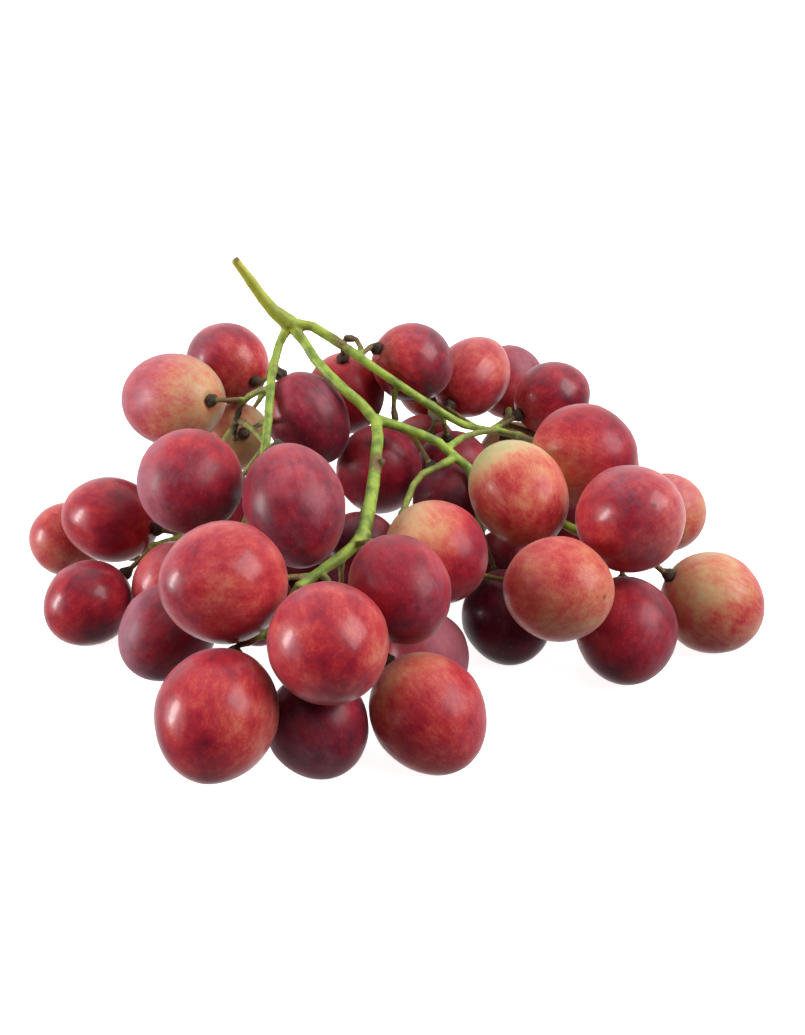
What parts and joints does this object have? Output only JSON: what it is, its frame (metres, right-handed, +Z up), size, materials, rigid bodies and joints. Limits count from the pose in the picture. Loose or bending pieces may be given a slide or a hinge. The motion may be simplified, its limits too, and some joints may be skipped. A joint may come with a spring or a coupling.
{
  "type": "bunch of grapes",
  "caption": "Bunch of large red table grapes with its branched green stem, lying on its side as cut from the vine.",
  "frame": {"origin": "middle of the bunch's box, on the surface that the bunch lies on", "axes": "+Z up, +X to the right along the bunch's widest spread, -Y to the side that the lowest front grapes are on"},
  "size_m": [0.1834, 0.1722, 0.0776],
  "materials": {
    "stem_wood": "fresh green stem, satin, browned at the cut, the stubs and the caps",
    "skin_red": "thin bright red grape skin, smooth, with a wax bloom over part of it",
    "skin_wine": "dark wine-red grape skin, smooth, under a dull lilac bloom",
    "skin_coral": "coral grape skin with red flecks, greenish at the stem end",
    "skin_pale": "half-ripe grape skin, pink over cream and yellow-green"
  },
  "bodies": {
    "root": {"stem": "stem_wood", "grape_01": "skin_red", "grape_02": "skin_pale", "grape_03": "skin_wine", "grape_04": "skin_red", "grape_05": "skin_red", "grape_06": "skin_red", "grape_07": "skin_red", "grape_08": "skin_red", "grape_09": "skin_wine", "grape_10": "skin_red", "grape_11": "skin_red", "grape_12": "skin_wine", "grape_13": "skin_coral", "grape_14": "skin_wine", "grape_15": "skin_coral", "grape_16": "skin_wine", "grape_17": "skin_wine", "grape_18": "skin_wine", "grape_19": "skin_wine", "grape_20": "skin_red", "grape_21": "skin_red", "grape_22": "skin_wine", "grape_23": "skin_red", "grape_24": "skin_coral", "grape_25": "skin_pale", "grape_26": "skin_red", "grape_27": "skin_coral", "grape_28": "skin_pale", "grape_29": "skin_coral", "grape_30": "skin_wine", "grape_31": "skin_wine", "grape_32": "skin_wine", "grape_33": "skin_wine", "grape_34": "skin_wine", "grape_35": "skin_wine", "grape_36": "skin_wine", "grape_37": "skin_wine", "grape_38": "skin_pale", "grape_39": "skin_wine", "grape_40": "skin_wine", "grape_41": "skin_wine", "grape_42": "skin_wine", "grape_43": "skin_wine", "grape_44": "skin_wine", "grape_45": "skin_wine", "grape_46": "skin_red", "grape_47": "skin_wine", "grape_48": "skin_red", "grape_49": "skin_wine", "grape_50": "skin_wine", "grape_51": "skin_red", "grape_52": "skin_wine"}
  },
  "joints": []
}
